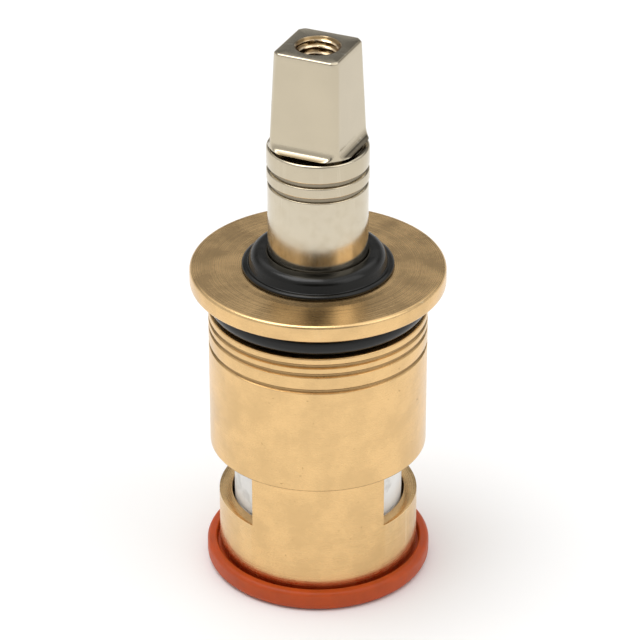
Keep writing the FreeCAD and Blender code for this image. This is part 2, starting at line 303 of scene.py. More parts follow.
def new_group(name, inputs, outputs):
    """Empty shader node group with named sockets, and its input and output nodes."""
    tree = bpy.data.node_groups.new(name, "ShaderNodeTree")
    for label, kind, default in inputs:
        socket = tree.interface.new_socket(label, in_out="INPUT", socket_type=kind)
        if default is not None:
            socket.default_value = default
    for label, kind in outputs:
        tree.interface.new_socket(label, in_out="OUTPUT", socket_type=kind)
    nodes = Nodes(tree)
    return nodes, nodes.add("NodeGroupInput"), nodes.add("NodeGroupOutput")


def radius_and_height(nodes):
    """Distance from the axis and height of the shaded point, from its Object coordinates."""
    place = nodes.add("ShaderNodeTexCoord").outputs["Object"]
    axes = nodes.add("ShaderNodeSeparateXYZ", Vector=place)
    flat = nodes.add("ShaderNodeCombineXYZ", X=axes.outputs["X"], Y=axes.outputs["Y"])
    radius = nodes.add("ShaderNodeVectorMath", {"operation": "LENGTH"}, i0=flat.outputs[0])
    return radius.outputs["Value"], axes.outputs["Z"]


def turning_lines_group():
    """Fine lines that a lathe tool leaves: rings on walls, circles on faces."""
    nodes, given, result = new_group(
        "turning_lines",
        [("Lines per Metre", "NodeSocketFloat", 9000.0)],
        [("Line", "NodeSocketFloat"), ("Broad Line", "NodeSocketFloat")],
    )
    radius, rise = radius_and_height(nodes)
    normal = nodes.add("ShaderNodeNewGeometry").outputs["True Normal"]
    facing = nodes.add("ShaderNodeSeparateXYZ", Vector=normal).outputs["Z"]
    is_face = nodes.math("GREATER_THAN", nodes.math("ABSOLUTE", facing), 0.7)
    along = nodes.add("ShaderNodeMix", {"data_type": "FLOAT"}, i0=is_face, i2=rise, i3=radius).outputs[0]
    count = nodes.math("MULTIPLY", along, given.outputs["Lines per Metre"])
    fine = nodes.add("ShaderNodeTexNoise", {"noise_dimensions": "1D"}, W=count, Scale=1.0, Detail=1.0)
    broad_count = nodes.math("MULTIPLY", count, 0.13)
    broad = nodes.add("ShaderNodeTexNoise", {"noise_dimensions": "1D"}, W=broad_count, Scale=1.0, Detail=2.0)
    nodes.tree.links.new(fine.outputs[0], result.inputs["Line"])
    nodes.tree.links.new(broad.outputs[0], result.inputs["Broad Line"])
    return nodes.tree


def mottle_group():
    """Cloudy patches, and small specks, in a surface's tone."""
    nodes, given, result = new_group(
        "mottle",
        [("Patches per Metre", "NodeSocketFloat", 220.0), ("Speck Amount", "NodeSocketFloat", 0.5)],
        [("Patch", "NodeSocketFloat"), ("Speck", "NodeSocketFloat")],
    )
    place = nodes.add("ShaderNodeTexCoord").outputs["Object"]
    scale = given.outputs["Patches per Metre"]
    patch = nodes.add("ShaderNodeTexNoise", Vector=place, Scale=scale, Detail=4.0, Roughness=0.6)
    fine = nodes.add("ShaderNodeTexNoise", Vector=place, Scale=1500.0, Detail=2.0)
    limit = nodes.math("SUBTRACT", 0.86, nodes.math("MULTIPLY", given.outputs["Speck Amount"], 0.14))
    speck = nodes.math("SUBTRACT", fine.outputs[0], limit)
    speck = nodes.math("MULTIPLY", speck, 14.0, clamp=True)
    nodes.tree.links.new(nodes.ramp(patch.outputs[0], 0.3, 0.7), result.inputs["Patch"])
    nodes.tree.links.new(speck, result.inputs["Speck"])
    return nodes.tree


def edge_wear_group():
    """Broken line of rubbed edges, from the shape of the surface."""
    nodes, given, result = new_group(
        "edge_wear",
        [("Spread", "NodeSocketFloat", 0.06)],
        [("Edge", "NodeSocketFloat")],
    )
    point = nodes.add("ShaderNodeNewGeometry").outputs["Pointiness"]
    place = nodes.add("ShaderNodeTexCoord").outputs["Object"]
    broken = nodes.add("ShaderNodeTexNoise", Vector=place, Scale=900.0, Detail=2.0)
    edge = nodes.math("DIVIDE", nodes.math("SUBTRACT", point, 0.52), given.outputs["Spread"], clamp=True)
    edge = nodes.math("MULTIPLY", edge, nodes.ramp(broken.outputs[0], 0.25, 0.6, 0.4, 1.0), clamp=True)
    nodes.tree.links.new(edge, result.inputs["Edge"])
    return nodes.tree


def group(nodes, tree, **inputs):
    """Place a shader group in a material."""
    return nodes.add("ShaderNodeGroup", {"node_tree": tree}, **inputs)


def new_material(name):
    """Empty material with a Principled shader joined to its output, apart from the frame's own."""
    material = bpy.data.materials.new(name + "_finish")
    material.use_nodes = True
    nodes = Nodes(material.node_tree)
    shader = nodes.add("ShaderNodeBsdfPrincipled")
    output = nodes.add("ShaderNodeOutputMaterial")
    nodes.tree.links.new(shader.outputs[0], output.inputs["Surface"])
    return material, nodes, shader


def join(nodes, value, socket):
    """Link a socket to a shader's input."""
    nodes.tree.links.new(value, socket)


def bump(nodes, height, distance, strength=1.0):
    """Normal output of a Bump node over a height that runs from 0 to 1."""
    node = nodes.add("ShaderNodeBump", Height=height)
    node.inputs["Distance"].default_value = distance
    node.inputs["Strength"].default_value = strength
    return node.outputs["Normal"]


def in_band(nodes, rise, low, high):
    """One between two heights, and nought elsewhere."""
    above = nodes.math("GREATER_THAN", rise, low)
    return nodes.math("MULTIPLY", above, nodes.math("LESS_THAN", rise, high))


def scaled(tone, factor):
    """Colour made lighter or darker by a factor."""
    return tuple(min(1.0, channel * factor) for channel in tone)


def brass_material(tone, groups, groove_top, groove_depth, step):
    """Turned brass: fine tool lines, cloudy patches, a few specks, bright rubbed edges, painted shade in the
    grooves and a painted shadow line under the step.
    """
    material, nodes, shader = new_material("turned_brass")
    shader.inputs["Metallic"].default_value = 1.0
    lines = group(nodes, groups["lines"], Lines_per_Metre=12000.0)
    clouds = group(nodes, groups["mottle"], Patches_per_Metre=260.0, Speck_Amount=1.0)
    wear = group(nodes, groups["wear"], Spread=0.05)
    base = nodes.mix(clouds.outputs["Patch"], scaled(tone, 0.90), scaled(tone, 1.08))
    base = nodes.mix(nodes.math("MULTIPLY", lines.outputs["Line"], 0.12), base, scaled(tone, 0.72))
    base = nodes.mix(nodes.math("MULTIPLY", clouds.outputs["Speck"], 0.5), base, (0.25, 0.13, 0.04))
    turned_face = nodes.add("ShaderNodeNewGeometry").outputs["True Normal"]
    turned_face = nodes.math("ABSOLUTE", nodes.add("ShaderNodeSeparateXYZ", Vector=turned_face).outputs["Z"])
    rubbed = nodes.math("MULTIPLY", wear.outputs["Edge"], nodes.math("LESS_THAN", turned_face, 0.98))
    base = nodes.mix(nodes.math("MULTIPLY", rubbed, 0.4), base, (0.95, 0.78, 0.50))
    radius, rise = radius_and_height(nodes)
    # Painted shade: the walls of the trim grooves are darkened towards their roots.
    painted_groove_shade = nodes.ramp(radius, groove_top, groove_top - groove_depth)
    on_wall = nodes.math("GREATER_THAN", radius, groove_top - 1.5 * groove_depth)
    in_grooves = in_band(nodes, rise, FLANGE_TOP - 10.0 * MM, FLANGE_TOP - 5.6 * MM)
    painted_groove_shade = nodes.math("MULTIPLY", painted_groove_shade, nodes.math("MULTIPLY", on_wall, in_grooves))
    base = nodes.mix(nodes.math("MULTIPLY", painted_groove_shade, 0.6), base, (0.10, 0.05, 0.015))
    # Painted shadow: a thin dark line on the lower body just under the step.
    from_edge = nodes.math("ABSOLUTE", nodes.math("SUBTRACT", rise, step + 0.03 * MM))
    painted_step_shadow = nodes.math("MULTIPLY", nodes.ramp(from_edge, 0.12 * MM, 0.07 * MM), on_wall)
    base = nodes.mix(nodes.math("MULTIPLY", painted_step_shadow, 0.7), base, (0.16, 0.085, 0.03))
    join(nodes, base, shader.inputs["Base Color"])
    rough = nodes.ramp(lines.outputs["Line"], 0.3, 0.7, 0.2, 0.26)
    rough = nodes.math("ADD", rough, nodes.math("MULTIPLY", clouds.outputs["Patch"], 0.06))
    join(nodes, rough, shader.inputs["Roughness"])
    height = nodes.math("MULTIPLY", lines.outputs["Line"], 0.14)
    height = nodes.math("ADD", height, lines.outputs["Broad Line"])
    join(nodes, bump(nodes, height, 0.02 * MM), shader.inputs["Normal"])
    return material


def spindle_material(nickel, brass, groups, ring_radius, groove_band):
    """Nickel plating outside, and the bare brass of the thread that was cut after it, with painted shade in
    the grooves and down the screw hole, and the thread's roots painted dark and its crests light.
    """
    material, nodes, shader = new_material("plated_brass")
    shader.inputs["Metallic"].default_value = 1.0
    radius, rise = radius_and_height(nodes)
    outside = nodes.ramp(radius, 2.4 * MM, 2.7 * MM)
    above = nodes.ramp(rise, FLANGE_TOP, FLANGE_TOP + 1.0 * MM)
    plated = nodes.math("MAXIMUM", outside, nodes.math("SUBTRACT", 1.0, above, clamp=True))
    clouds = group(nodes, groups["mottle"], Patches_per_Metre=180.0, Speck_Amount=0.2)
    lines = group(nodes, groups["lines"], Lines_per_Metre=9000.0)
    wear = group(nodes, groups["wear"], Spread=0.05)
    plating = nodes.mix(clouds.outputs["Patch"], scaled(nickel, 0.96), scaled(nickel, 1.03))
    plating = nodes.mix(nodes.math("MULTIPLY", wear.outputs["Edge"], 0.5), plating, (0.86, 0.80, 0.68))
    # Painted shade: the ring grooves and the groove under the square are darkened towards their roots.
    painted_groove_shade = nodes.ramp(radius, ring_radius - 0.2 * MM, ring_radius - 0.34 * MM)
    painted_groove_shade = nodes.math("MULTIPLY", painted_groove_shade, in_band(nodes, rise, *groove_band))
    plating = nodes.mix(nodes.math("MULTIPLY", painted_groove_shade, 0.65), plating, (0.09, 0.07, 0.045))
    # Painted shade: the screw hole is darkened further down.
    painted_hole_shade = nodes.ramp(rise, SPINDLE_HIGH.z - 0.9 * MM, SPINDLE_HIGH.z - 2.6 * MM)
    # Painted shade and highlight: the thread's roots are painted dark and its crests pale.
    painted_thread_shading = nodes.ramp(radius, 2.3 * MM, 2.1 * MM)
    bare = nodes.mix(painted_thread_shading, scaled(brass, 0.35), (0.86, 0.68, 0.46))
    bare = nodes.mix(nodes.math("MULTIPLY", painted_hole_shade, 0.9), bare, (0.10, 0.07, 0.04))
    base = nodes.mix(plated, bare, plating)
    join(nodes, base, shader.inputs["Base Color"])
    rough = nodes.ramp(clouds.outputs["Patch"], 0.0, 1.0, 0.13, 0.2)
    join(nodes, rough, shader.inputs["Roughness"])
    join(nodes, bump(nodes, lines.outputs["Line"], 0.0015 * MM), shader.inputs["Normal"])
    return material


def moulded_grain(nodes, scale):
    """Fine grain that a mould leaves."""
    place = nodes.add("ShaderNodeTexCoord").outputs["Object"]
    return nodes.add("ShaderNodeTexNoise", Vector=place, Scale=scale).outputs[0]


def rubber_material(tone, groups):
    """Glossy black moulded rubber with a faint bloom."""
    material, nodes, shader = new_material("black_rubber")
    shader.inputs["Specular IOR Level"].default_value = 0.36
    clouds = group(nodes, groups["mottle"], Patches_per_Metre=500.0, Speck_Amount=0.3)
    base = nodes.mix(nodes.math("MULTIPLY", clouds.outputs["Patch"], 0.4), tone, scaled(tone, 1.8))
    base = nodes.mix(nodes.math("MULTIPLY", clouds.outputs["Speck"], 0.3), base, (0.12, 0.11, 0.09))
    join(nodes, base, shader.inputs["Base Color"])
    join(nodes, nodes.ramp(clouds.outputs["Patch"], 0.0, 1.0, 0.17, 0.25), shader.inputs["Roughness"])
    grain = moulded_grain(nodes, 2500.0)
    join(nodes, bump(nodes, grain, 0.006 * MM), shader.inputs["Normal"])
    return material


def silicone_material(tone, groups):
    """Soft orange silicone: a little light passes into it, and dust lies on it."""
    material, nodes, shader = new_material("orange_silicone")
    shader.inputs["Specular IOR Level"].default_value = 0.35
    shader.inputs["Subsurface Weight"].default_value = 0.2
    shader.inputs["Subsurface Radius"].default_value = (1.0, 0.35, 0.1)
    shader.inputs["Subsurface Scale"].default_value = 0.6 * MM
    clouds = group(nodes, groups["mottle"], Patches_per_Metre=350.0, Speck_Amount=0.35)
    base = nodes.mix(clouds.outputs["Patch"], scaled(tone, 0.9), scaled(tone, 1.08))
    base = nodes.mix(nodes.math("MULTIPLY", clouds.outputs["Speck"], 0.25), base, (0.75, 0.35, 0.2))
    join(nodes, base, shader.inputs["Base Color"])
    join(nodes, nodes.ramp(clouds.outputs["Patch"], 0.0, 1.0, 0.38, 0.5), shader.inputs["Roughness"])
    grain = moulded_grain(nodes, 1800.0)
    join(nodes, bump(nodes, grain, 0.01 * MM), shader.inputs["Normal"])
    return material


def ceramic_material(tone, groups):
    """Ground white alumina with faint grey smudges of grease."""
    material, nodes, shader = new_material("white_ceramic")
    clouds = group(nodes, groups["mottle"], Patches_per_Metre=240.0, Speck_Amount=0.9)
    smudge = nodes.ramp(clouds.outputs["Patch"], 0.72, 1.0)
    base = nodes.mix(nodes.math("MULTIPLY", smudge, 0.35), tone, (0.42, 0.42, 0.38))
    base = nodes.mix(nodes.math("MULTIPLY", clouds.outputs["Speck"], 0.35), base, (0.3, 0.28, 0.24))
    join(nodes, base, shader.inputs["Base Color"])
    join(nodes, nodes.ramp(clouds.outputs["Patch"], 0.0, 1.0, 0.3, 0.42), shader.inputs["Roughness"])
    return material


def plastic_material(name, tone, groups):
    """Plain moulded plastic with a soft sheen."""
    material, nodes, shader = new_material(name)
    clouds = group(nodes, groups["mottle"], Patches_per_Metre=300.0, Speck_Amount=0.2)
    base = nodes.mix(clouds.outputs["Patch"], scaled(tone, 0.93), scaled(tone, 1.04))
    join(nodes, base, shader.inputs["Base Color"])
    join(nodes, nodes.ramp(clouds.outputs["Patch"], 0.0, 1.0, 0.36, 0.48), shader.inputs["Roughness"])
    return material


def steel_material(tone, groups):
    """Bright spring steel."""
    material, nodes, shader = new_material("spring_steel")
    shader.inputs["Metallic"].default_value = 1.0
    clouds = group(nodes, groups["mottle"], Patches_per_Metre=300.0, Speck_Amount=0.3)
    base = nodes.mix(clouds.outputs["Patch"], scaled(tone, 0.88), scaled(tone, 1.05))
    join(nodes, base, shader.inputs["Base Color"])
    join(nodes, nodes.ramp(clouds.outputs["Patch"], 0.0, 1.0, 0.22, 0.34), shader.inputs["Roughness"])
    return material


def material_named(name):
    """One of the finishes that the first operator made."""
    return bpy.data.materials[name + "_finish"]


# Operators


class CARTRIDGE_OT_finishes(Operator):
    """Make the shader groups and the materials"""

    bl_idname = "cartridge.finishes"
    bl_label = "Finishes"

    def execute(self, context):
        tones = context.scene.cartridge_finish
        groups = {"lines": turning_lines_group(), "mottle": mottle_group(), "wear": edge_wear_group()}
        body = context.scene.cartridge_body
        step = FLANGE_TOP - body.flange_thickness - body.barrel_length
        brass_material(tuple(tones.brass), groups, body.barrel_radius, 0.95 * body.trim_groove_radius, step)
        stem = context.scene.cartridge_spindle
        groove_band = (FLANGE_TOP + stem.shank_length, SPINDLE_HIGH.z - stem.flats_height + stem.groove_width)
        spindle_material(tuple(tones.nickel), tuple(tones.brass), groups, stem.ring_radius, groove_band)
        rubber_material(tuple(tones.rubber), groups)
        silicone_material(tuple(tones.silicone), groups)
        ceramic_material(tuple(tones.ceramic), groups)
        plastic_material("white_acetal", tuple(tones.acetal), groups)
        plastic_material("black_acetal", (0.03, 0.03, 0.03), groups)
        steel_material(tuple(tones.steel), groups)
        return {"FINISHED"}


class CARTRIDGE_OT_valve_body(Operator):
    """Spin the brass body and cut its two water windows"""

    bl_idname = "cartridge.valve_body"
    bl_label = "Valve body"

    def execute(self, context):
        sizes = context.scene.cartridge_body
        top = BODY_HIGH.z
        under = top - sizes.flange_thickness
        step = under - sizes.barrel_length
        floor = step - sizes.window_height
        foot = BODY_LOW.z
        edge = 0.18 * MM
        groove_top = under - sizes.ring_groove_width
        lug_bottom = DRIVER_HIGH.z + 0.67 * MM
        corners = [
            (sizes.bore_radius, floor, 0),
            (sizes.bore_radius, FIXED_HIGH.z, 0),
            (sizes.bore_radius, foot, edge),
            (sizes.lower_radius, foot, edge),
            (sizes.lower_radius, floor, 0),
            (sizes.lower_radius, step, 0),
            (sizes.barrel_radius, step, 0.14 * MM),
        ]
        for drop in (7.31, 5.29, 4.15):
            corners += self.trim_groove(sizes, under - drop * MM)
        corners += [
            (sizes.barrel_radius, groove_top, 0.2 * MM),
            (sizes.ring_groove_root, groove_top, edge),
            (sizes.ring_groove_root, under, edge),
            (BODY_HIGH.x, under, 0.3 * MM),
            (BODY_HIGH.x, top, 0.38 * MM),
            (sizes.counterbore_radius, top, edge),
            (sizes.counterbore_radius, WASHER_LOW.z, 0.05 * MM),
            (sizes.stem_bore_radius, WASHER_LOW.z, 0.1 * MM),
            (sizes.stem_bore_radius, THRUST_HIGH.z, 0.1 * MM),
            (sizes.bore_radius, THRUST_HIGH.z, 0),
            (sizes.bore_radius, THRUST_HIGH.z - 0.05 * MM, 0),
            (sizes.bore_radius, lug_bottom, 0),
            (sizes.bore_radius, step, 0),
        ]
        body = spin_profile("valve_body_turned", rounded(corners), 360, closed=True)
        self.push_wall(body, sizes, foot + edge, FIXED_HIGH.z, sizes.key_radius)
        self.push_wall(body, sizes, lug_bottom, THRUST_HIGH.z, sizes.stop_radius)
        self.cut_windows(body, sizes, floor, step)
        finish_mesh(body)
        dress(body, material_named("turned_brass"), "housing", ["valve_body"])
        return {"FINISHED"}

    def trim_groove(self, sizes, height):
        """Corners of one narrow round groove in the barrel, from the bottom up."""
        reach = sizes.trim_groove_radius
        root = sizes.barrel_radius - 0.95 * reach
        lip = 0.1 * MM
        return [
            (sizes.barrel_radius, height - reach, lip),
            (root, height - 0.45 * reach, 0.12 * MM),
            (root, height + 0.45 * reach, 0.12 * MM),
            (sizes.barrel_radius, height + reach, lip),
        ]

    def push_wall(self, body, sizes, bottom, top, reach):
        """Press two pads of the bore's wall, at the front and the back, out or in to a radius."""
        half = math.radians(12)

        def on_pad(centre, normal):
            turn = abs(math.atan2(centre.x, abs(centre.y)))
            wall = abs(centre.xy.length - sizes.bore_radius) < 0.02 * MM
            return wall and turn < half and bottom < centre.z < top - 0.06 * MM

        select_faces(body, on_pad)
        bpy.ops.mesh.extrude_region_move(TRANSFORM_OT_translate={"value": (0, 0, 0)})
        grow = reach / sizes.bore_radius
        bpy.ops.transform.resize(value=(grow, grow, 1), center_override=(0, 0, 0))

    def cut_windows(self, body, sizes, floor, step):
        """Open the wall on both sides, and bridge the outer edge to the inner one."""
        limit = math.radians(sizes.window_half_angle)
        middle = (floor + step) / 2

        def in_window(centre, side):
            turn = abs(math.atan2(centre.y, side * centre.x))
            near = abs(centre.z - middle) < 0.45 * sizes.window_height and turn < limit
            return near and centre.xy.length > 0.98 * sizes.bore_radius

        for side in (1, -1):
            select_faces(body, lambda centre, normal: in_window(centre, side))
            bpy.ops.mesh.delete(type="FACE")
            bpy.ops.mesh.select_mode(type="EDGE")
            bpy.ops.mesh.select_all(action="DESELECT")
            mesh = bmesh.from_edit_mesh(body.data)
            for rim in mesh.edges:
                rim.select_set(rim.is_boundary)
            bmesh.update_edit_mesh(body.data)
            bpy.ops.mesh.bridge_edge_loops()
        bpy.ops.mesh.select_all(action="SELECT")
        bpy.ops.mesh.normals_make_consistent(inside=False)
        bpy.ops.mesh.select_all(action="DESELECT")
        mesh = bmesh.from_edit_mesh(body.data)
        for edge in mesh.edges:
            middle = (edge.verts[0].co + edge.verts[1].co) / 2
            turn = abs(math.atan2(middle.y, abs(middle.x)))
            near = floor - 0.02 * MM < middle.z < step + 0.02 * MM and turn < limit + 0.005
            edge.select_set(near and edge.calc_face_angle_signed() > math.radians(60))
        bmesh.update_edit_mesh(body.data)
        bpy.ops.mesh.bevel(offset=0.09 * MM, segments=2, affect="EDGES")


class CARTRIDGE_OT_spindle(Operator):
    """Spin the spindle, press its square and cut the thread in its end"""

    bl_idname = "cartridge.spindle"
    bl_label = "Spindle"

    def execute(self, context):
        sizes = context.scene.cartridge_spindle
        top = SPINDLE_HIGH.z
        flats_bottom = top - sizes.flats_height
        shank_top = BODY_HIGH.z + sizes.shank_length
        root = sizes.ring_radius - sizes.groove_depth
        soft = 0.16 * MM
        width = sizes.groove_width
        lower_ring_top = shank_top + width + 1.18 * MM
        blank = sizes.corner_bottom
        corners = self.shaft_corners(sizes)
        corners += [
            (sizes.shank_radius, shank_top, soft),
            (root, shank_top + 0.1 * MM, 0.1 * MM),
            (root, shank_top + width - 0.1 * MM, 0.1 * MM),
            (sizes.ring_radius, shank_top + width, soft),
            (sizes.ring_radius, lower_ring_top, soft),
            (root, lower_ring_top + 0.1 * MM, 0.1 * MM),
            (root, lower_ring_top + width - 0.1 * MM, 0.1 * MM),
            (sizes.ring_radius, lower_ring_top + width, soft),
            (sizes.ring_radius, flats_bottom, 0.26 * MM),
            (root - 0.3 * MM, flats_bottom, 0.05 * MM),
            (root - 0.3 * MM, flats_bottom + sizes.foot_gap - 0.05 * MM, 0.05 * MM),
            (blank, flats_bottom + sizes.foot_gap, 0.08 * MM),
            (blank, top, 0),
        ]
        points = rounded(corners)[:-1]
        points += self.head_points(points[-1].y, top, blank, sizes.foot_fillet)
        points.append(Vector((sizes.hole_radius + 0.12 * MM, top)))
        hole_bottom = top - sizes.hole_depth
        wall_top = top - 0.12 * MM
        rows = 110
        for row in range(rows + 1):
            points.append(Vector((sizes.hole_radius, wall_top - (wall_top - hole_bottom) * row / rows)))
        points.append(Vector((0, hole_bottom - 1.45 * MM)))
        spindle = spin_profile("spindle_plated", points, 288)
        self.add_tang()
        bpy.ops.object.mode_set(mode="OBJECT")
        self.cut_stops(spindle, sizes)
        self.press_square(spindle, sizes, flats_bottom, top, blank)
        self.cut_thread(spindle, sizes, top, hole_bottom)
        finish_mesh(spindle, 40)
        dress(spindle, material_named("plated_brass"), "stem", ["spindle"])
        return {"FINISHED"}

    def shaft_corners(self, sizes):
        """Corners of the collar, the journal with its two ring grooves and the clip's groove."""
        collar_bottom = DRIVER_HIGH.z + 0.02 * MM
        collar_top = THRUST_LOW.z - 0.02 * MM
        edge = 0.12 * MM
        clip_root = sizes.shank_radius - 0.75 * MM
        journal_top = WASHER_LOW.z - 0.3 * MM
        corners = [
            (0, collar_bottom, 0),
            (sizes.collar_radius, collar_bottom, 0.2 * MM),
            (sizes.collar_radius, collar_top, 0.2 * MM),
            (sizes.journal_radius, collar_top, 0),
        ]
        first_ring = RING_LOW.z + 0.89 * MM
        ring_root = sizes.journal_radius - 1.77 * MM
        half_width = 1.15 * MM
        for middle in (first_ring, first_ring + sizes.stem_ring_spacing):
            corners += [
                (sizes.journal_radius, middle - half_width, edge),
                (ring_root, middle - half_width, edge),
                (ring_root, middle + half_width, edge),
                (sizes.journal_radius, middle + half_width, edge),
            ]
        return corners + [
            (sizes.journal_radius, journal_top, edge),
            (sizes.shank_radius, journal_top, 0),
            (sizes.shank_radius, CLIP_LOW.z - 0.02 * MM, 0),
            (clip_root, CLIP_LOW.z - 0.02 * MM, 0),
            (clip_root, CLIP_HIGH.z + 0.02 * MM, 0),
            (sizes.shank_radius, CLIP_HIGH.z + 0.02 * MM, 0),
        ]

    def head_points(self, bottom, top, blank, fillet):
        """Rows of the head's wall, close together at its foot, and the rounding at its top."""
        rounding = 0.26 * MM
        points = []
        for step in range(1, 9):
            points.append(Vector((blank, bottom + fillet * (1 - math.cos(math.radians(90 * step / 8))))))
        rows = 20
        start = bottom + fillet
        for row in range(1, rows + 1):
            points.append(Vector((blank, start + (top - rounding - start) * row / rows)))
        for step in range(1, 6):
            turn = math.radians(18 * step)
            inset = rounding * (1 - math.cos(turn))
            points.append(Vector((blank - inset, top - rounding * (1 - math.sin(turn)))))
        return points

    def add_tang(self):
        """Flat tongue under the collar that drives the discs."""
        bottom = SPINDLE_LOW.z
        top = DRIVER_HIGH.z + 0.2 * MM
        bpy.ops.mesh.select_all(action="DESELECT")
        bpy.ops.mesh.primitive_cube_add(size=1.0, location=(0, 0, (bottom + top) / 2))
        centre = (0, 0, (bottom + top) / 2)
        thickness, width = 3.9 * MM, 15 * MM
        bpy.ops.transform.resize(value=(thickness, width, top - bottom), center_override=centre)

    def cut_stops(self, spindle, sizes):
        """Draw in two thirds of the collar, so that its lobes turn between the body's lugs."""
        low = DRIVER_HIGH.z + 0.01 * MM
        root = sizes.stop_root
        for vertex in spindle.data.vertices:
            radius = vertex.co.xy.length
            if not low < vertex.co.z < THRUST_LOW.z or radius < root:
                continue
            turn = math.degrees(math.atan2(vertex.co.y, vertex.co.x)) % 180
            if not 12.4 < turn < 77.6:
                vertex.co.x *= root / radius
                vertex.co.y *= root / radius

    def press_square(self, spindle, sizes, bottom, top, blank):
        """Draw the turned head in to a tapered square, with the turned blank left at its corners."""
        foot = bottom + sizes.foot_gap
        for vertex in spindle.data.vertices:
            radius = vertex.co.xy.length
            if vertex.co.z < bottom + 0.02 * MM or radius < sizes.hole_radius + 0.2 * MM:
                continue
            share = (vertex.co.z - bottom) / (top - bottom)
            half = (sizes.side_bottom + (sizes.side_top - sizes.side_bottom) * share) / 2
            corner = sizes.corner_bottom + (sizes.corner_top - sizes.corner_bottom) * share
            soft = 0.05 * MM
            below = foot + sizes.foot_fillet - vertex.co.z
            if 0 < below <= sizes.foot_fillet:
                half += sizes.foot_fillet - math.sqrt(sizes.foot_fillet ** 2 - below ** 2)
                soft += 0.1 * below
            if vertex.co.z > top - 0.3 * MM:
                half -= blank - radius
                corner -= blank - radius
            turn = math.atan2(vertex.co.y, vertex.co.x) - sizes.flats_turn
            reach = self.square_reach(turn, half, corner, soft)
            if reach < radius:
                vertex.co.x *= reach / radius
                vertex.co.y *= reach / radius

    def square_reach(self, turn, half, corner, soft):
        """Distance from the axis, in one direction, to a square whose corners are turned off."""
        quarter = math.pi / 2
        local = (turn + quarter / 2) % quarter - quarter / 2
        straight = half / math.cos(local)
        gap = straight - corner
        return (straight + corner - math.sqrt(gap * gap + soft * soft)) / 2

    def cut_thread(self, spindle, sizes, top, bottom):
        """Raise the ridge of the thread on the wall of the screw hole."""
        for vertex in spindle.data.vertices:
            radius = vertex.co.xy.length
            if abs(radius - sizes.hole_radius) > 0.02 * MM or vertex.co.z < bottom + 0.5 * MM:
                continue
            turn = math.atan2(vertex.co.y, vertex.co.x) / (2 * math.pi)
            phase = (vertex.co.z / sizes.thread_pitch - turn) % 1.0
            ridge = max(0.0, 1.0 - abs(phase - 0.5) / 0.42)
            ridge = min(ridge, 0.88)
            fade = min(1.0, (top - 0.1 * MM - vertex.co.z) / (0.35 * MM))
            reach = sizes.hole_radius - sizes.thread_depth * ridge * max(0.0, fade)
            vertex.co.x *= reach / radius
            vertex.co.y *= reach / radius


class CARTRIDGE_OT_rubber_rings(Operator):
    """Spin the stem's grommet and the body's O-ring"""

    bl_idname = "cartridge.rubber_rings"
    bl_label = "Rubber rings"

    def execute(self, context):
        neck = context.scene.cartridge_spindle.shank_radius
        bottom = GROMMET_LOW.z
        top = GROMMET_HIGH.z
        outer = GROMMET_HIGH.x
        corners = [
            (neck, bottom + 0.5 * MM, 0),
            (neck, bottom, 0.05 * MM),
            (outer, bottom, 0.12 * MM),
            (outer, bottom + 0.34 * MM, 0.2 * MM),
            (outer - 0.3 * MM, bottom + 0.46 * MM, 0.15 * MM),
            (outer - 0.66 * MM, bottom + 0.4 * MM, 0.12 * MM),
            (outer - 1.15 * MM, top, 1.15 * MM),
            (neck, top, 0.35 * MM),
            (neck, bottom + 0.9 * MM, 0),
        ]
        grommet = spin_profile("stem_grommet_moulded", rounded(corners, 6), 192, closed=True)
        finish_mesh(grommet, 50)
        dress(grommet, material_named("black_rubber"), "stem", ["stem_grommet"])
        section = (BODY_RING_HIGH.z - BODY_RING_LOW.z) / 2
        centre = Vector((BODY_RING_HIGH.x - section, BODY_RING_LOW.z + section))
        turns = [2 * math.pi * step / 32 for step in range(32)]
        circle = [centre + Vector((math.cos(turn), math.sin(turn))) * section for turn in turns]
        ring = spin_profile("body_o_ring_moulded", circle, 192, closed=True)
        finish_mesh(ring, 60)
        dress(ring, material_named("black_rubber"), "housing", ["body_o_ring"])
        return {"FINISHED"}


class CARTRIDGE_OT_seat_gasket(Operator):
    """Spin the orange gasket"""

    bl_idname = "cartridge.seat_gasket"
    bl_label = "Seat gasket"

    def execute(self, context):
        body = context.scene.cartridge_body
        outer = GASKET_HIGH.x
        lip_top = 2.4 * MM
        foot = BODY_LOW.z
        opening = STIFFENER_HIGH.x - 0.58 * MM
        neck_inner = STIFFENER_HIGH.x + 0.02 * MM
        neck_outer = body.bore_radius - 0.3 * MM
        corners = [
            (opening, 0.25 * MM, 0),
            (opening, 0, 0.1 * MM),
            (outer, 0, 0.85 * MM),
            (outer, lip_top, 0.8 * MM),
            (body.lower_radius + 0.38 * MM, lip_top, 0.25 * MM),
            (body.lower_radius + 0.3 * MM, foot, 0.1 * MM),
            (neck_outer, foot, 0.1 * MM),
            (neck_outer, FIXED_LOW.z, 0.25 * MM),
            (neck_inner, FIXED_LOW.z, 0.25 * MM),
            (neck_inner, STIFFENER_LOW.z, 0.05 * MM),
            (opening, STIFFENER_LOW.z, 0.05 * MM),
            (opening, 0.3 * MM, 0),
        ]
        gasket = spin_profile("seat_gasket_moulded", rounded(corners, 6), 240, closed=True)
        finish_mesh(gasket, 50)
        dress(gasket, material_named("orange_silicone"), "housing", ["seat_gasket"])
        return {"FINISHED"}


class CARTRIDGE_OT_inner_parts(Operator):
    """Give the parts inside the body their finishes"""

    bl_idname = "cartridge.inner_parts"
    bl_label = "Inner parts"

    def execute(self, context):
        finishes = {
            "fixed_disc": "white_ceramic",
            "moving_disc": "white_ceramic",
            "disc_driver": "white_acetal",
            "thrust_washer": "white_acetal",
            "gasket_stiffener": "black_acetal",
            "stem_o_ring_upper": "black_rubber",
            "stem_o_ring_lower": "black_rubber",
            "clip_washer": "turned_brass",
            "retaining_clip": "spring_steel",
        }
        for node, finish in finishes.items():
            dress(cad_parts[node], material_named(finish))
        return {"FINISHED"}


